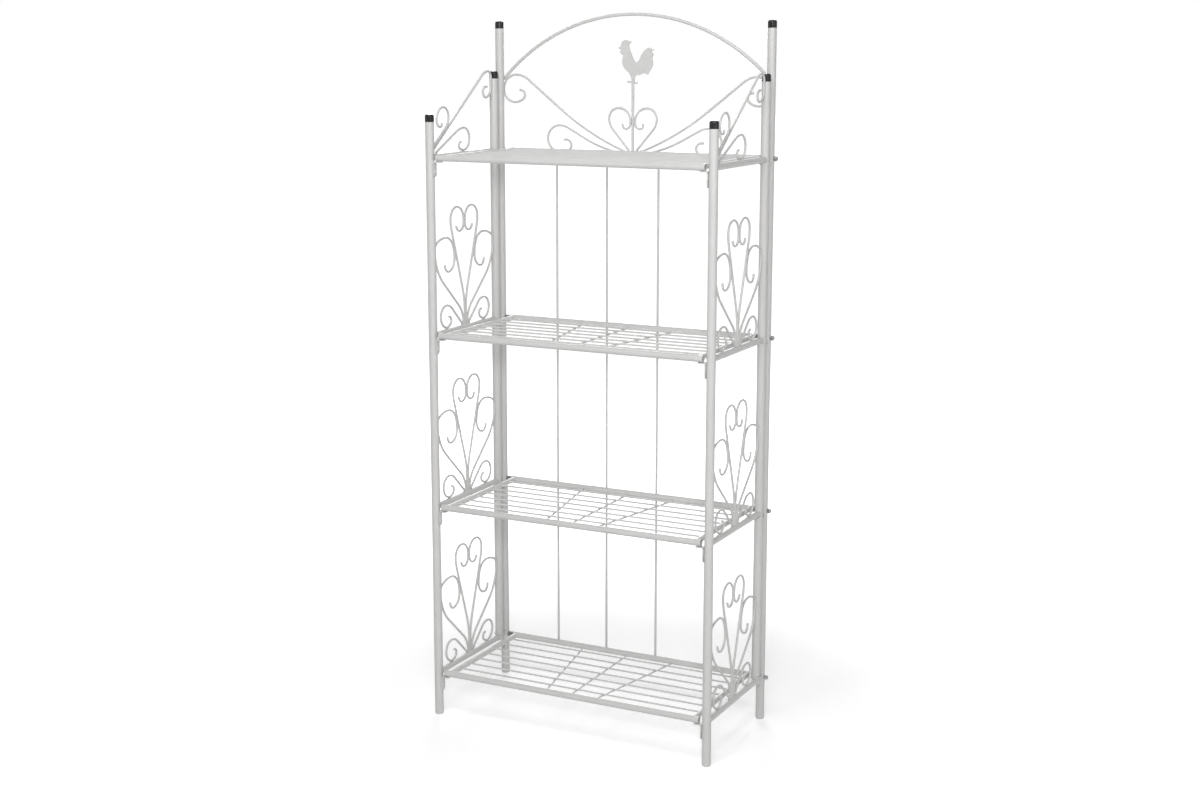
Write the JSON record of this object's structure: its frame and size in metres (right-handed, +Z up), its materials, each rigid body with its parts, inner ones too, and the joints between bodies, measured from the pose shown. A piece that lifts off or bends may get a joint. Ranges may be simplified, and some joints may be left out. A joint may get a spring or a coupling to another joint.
{
  "type": "folding plant rack",
  "caption": "Folding freestanding plant rack of white tube, with wire shelves that tip up, scrolled side panels that swing, and an arched crest with a rooster.",
  "frame": {"origin": "on the floor under the middle of the rack's bounding box", "axes": "+Z up, the open front faces -Y, +X to the right as seen from the front"},
  "size_m": [0.6836, 0.3294, 1.539],
  "materials": {
    "white_coat": "satin",
    "black_plastic": "glossy",
    "hardware": "zinc plated"
  },
  "bodies": {
    "back_panel": {"back_rail_bottom": "white_coat", "back_rail_top": "white_coat", "back_rods": "white_coat", "arch": "white_coat", "crest_scrolls_upper": "white_coat", "crest_scrolls_lower": "white_coat", "crest_heart": "white_coat", "crest_stem": "white_coat", "rooster": "white_coat", "back_caps": "black_plastic", "back_post_left": "white_coat", "hinge_straps_left": "white_coat", "back_post_right": "white_coat", "hinge_straps_right": "white_coat"},
    "side_panel_left": {"front_post_left": "white_coat", "side_post_left": "white_coat", "side_rails_left": "white_coat", "fan_lower_left": "white_coat", "fan_middle_left": "white_coat", "fan_upper_left": "white_coat", "top_scrolls_left": "white_coat", "side_caps_left": "black_plastic", "shelf_rests_left": "white_coat"},
    "side_panel_right": {"front_post_right": "white_coat", "side_post_right": "white_coat", "side_rails_right": "white_coat", "fan_lower_right": "white_coat", "fan_middle_right": "white_coat", "fan_upper_right": "white_coat", "top_scrolls_right": "white_coat", "side_caps_right": "black_plastic", "shelf_rests_right": "white_coat"},
    "shelf_1": {"shelf_frame_1": "white_coat", "shelf_wires_1": "white_coat", "cross_wires_1": "white_coat", "pivot_bolts_1": "hardware", "pivot_spacers_1": "black_plastic", "pivot_inserts_1": "hardware"},
    "shelf_2": {"shelf_frame_2": "white_coat", "shelf_wires_2": "white_coat", "cross_wires_2": "white_coat", "pivot_bolts_2": "hardware", "pivot_spacers_2": "black_plastic", "pivot_inserts_2": "hardware"},
    "shelf_3": {"shelf_frame_3": "white_coat", "shelf_wires_3": "white_coat", "cross_wires_3": "white_coat", "pivot_bolts_3": "hardware", "pivot_spacers_3": "black_plastic", "pivot_inserts_3": "hardware"},
    "shelf_4": {"shelf_frame_4": "white_coat", "shelf_wires_4": "white_coat", "cross_wires_4": "white_coat", "pivot_bolts_4": "hardware", "pivot_spacers_4": "black_plastic", "pivot_inserts_4": "hardware"}
  },
  "joints": [
    {"name": "side_left_swing", "type": "hinge", "parent": "back_panel", "child": "side_panel_left", "pos_m": [-0.325, 0.11505, 0], "axis": [0, 0, -1], "range_deg": [0, 90]},
    {"name": "side_right_swing", "type": "hinge", "parent": "back_panel", "child": "side_panel_right", "pos_m": [0.325, 0.11505, 0], "axis": [0, 0, 1], "range_deg": [0, 90]},
    {"name": "shelf_1_tip", "type": "hinge", "parent": "back_panel", "child": "shelf_1", "pos_m": [0, 0.14305, 0.097], "axis": [-1, 0, 0], "range_deg": [0, 90]},
    {"name": "shelf_2_tip", "type": "hinge", "parent": "back_panel", "child": "shelf_2", "pos_m": [0, 0.14305, 0.477], "axis": [-1, 0, 0], "range_deg": [0, 90]},
    {"name": "shelf_3_tip", "type": "hinge", "parent": "back_panel", "child": "shelf_3", "pos_m": [0, 0.14305, 0.857], "axis": [-1, 0, 0], "range_deg": [0, 90]},
    {"name": "shelf_4_tip", "type": "hinge", "parent": "back_panel", "child": "shelf_4", "pos_m": [0, 0.14305, 1.237], "axis": [-1, 0, 0], "range_deg": [0, 90]}
  ]
}
